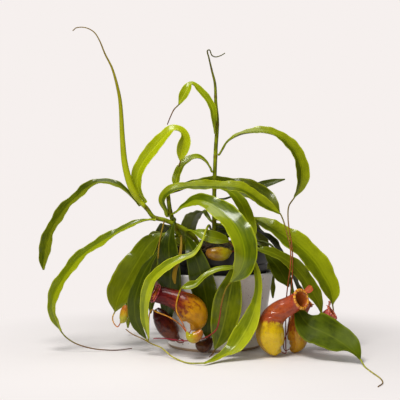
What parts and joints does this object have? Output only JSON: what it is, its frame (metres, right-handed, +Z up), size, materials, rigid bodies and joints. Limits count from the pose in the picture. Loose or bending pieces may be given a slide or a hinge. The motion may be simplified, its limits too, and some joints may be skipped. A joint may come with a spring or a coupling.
{
  "type": "potted tropical pitcher plant",
  "caption": "Tropical pitcher plant with arching leaves and gold and maroon hanging pitchers, in a black nursery pot that stands in a pale glazed outer pot.",
  "frame": {"origin": "centre of the outer pot's flat foot, on the surface it stands on", "axes": "+Z up along the pots' common axis, -Y towards the viewer of the picture, +X to that viewer's right"},
  "size_m": [0.394, 0.3911, 0.4031],
  "materials": {
    "outer_glaze": "satin",
    "nursery_plastic": "satin",
    "growing_medium": "matte",
    "stem": "satin",
    "leaf": "gloss",
    "bright_leaf": "gloss",
    "dark_leaf": "gloss",
    "young_leaf": "satin",
    "withered_leaf": "matte",
    "gold_pitcher": "gloss",
    "maroon_pitcher": "gloss"
  },
  "bodies": {
    "root": {"outer_pot": "outer_glaze", "nursery_pot": "nursery_plastic", "growing_medium": "growing_medium", "climbing_stem": "stem", "leaning_stem": "stem", "side_stem": "stem", "pitcher_front_right": "gold_pitcher", "pitcher_behind_right": "gold_pitcher", "pitcher_far_right": "maroon_pitcher", "pitcher_front_left": "gold_pitcher", "pitcher_young_left": "gold_pitcher", "pitcher_dark_middle": "maroon_pitcher", "pitcher_in_shade": "maroon_pitcher", "pitcher_far_left": "gold_pitcher", "pitcher_at_rim": "gold_pitcher", "leaf_top_left": "bright_leaf", "leaf_top_right": "leaf", "leaf_top_back": "bright_leaf", "leaf_rolled_tall": "young_leaf", "leaf_folded_tip": "bright_leaf", "leaf_arch_far_left": "leaf", "leaf_long_left": "leaf", "leaf_across_front": "bright_leaf", "leaf_across_back": "dark_leaf", "leaf_glimpse_right": "dark_leaf", "leaf_great_front": "leaf", "leaf_second_front": "leaf", "leaf_right_outer": "leaf", "leaf_right_inner": "leaf", "leaf_right_under": "dark_leaf", "leaf_floor_right": "dark_leaf", "leaf_floor_front": "bright_leaf", "leaf_hanging_middle": "dark_leaf", "leaf_small_front": "leaf", "leaf_bright_left": "bright_leaf", "leaf_big_left": "leaf", "leaf_shaded_left": "dark_leaf", "leaf_deep_left": "dark_leaf", "leaf_olive_left": "dark_leaf", "leaf_level_middle": "leaf", "leaf_withered": "withered_leaf", "tendril_withered": "withered_leaf", "leaf_back_1": "dark_leaf", "leaf_back_2": "leaf", "leaf_back_3": "dark_leaf", "leaf_back_4": "leaf", "leaf_back_5": "dark_leaf", "leaf_back_6": "leaf"}
  },
  "joints": []
}
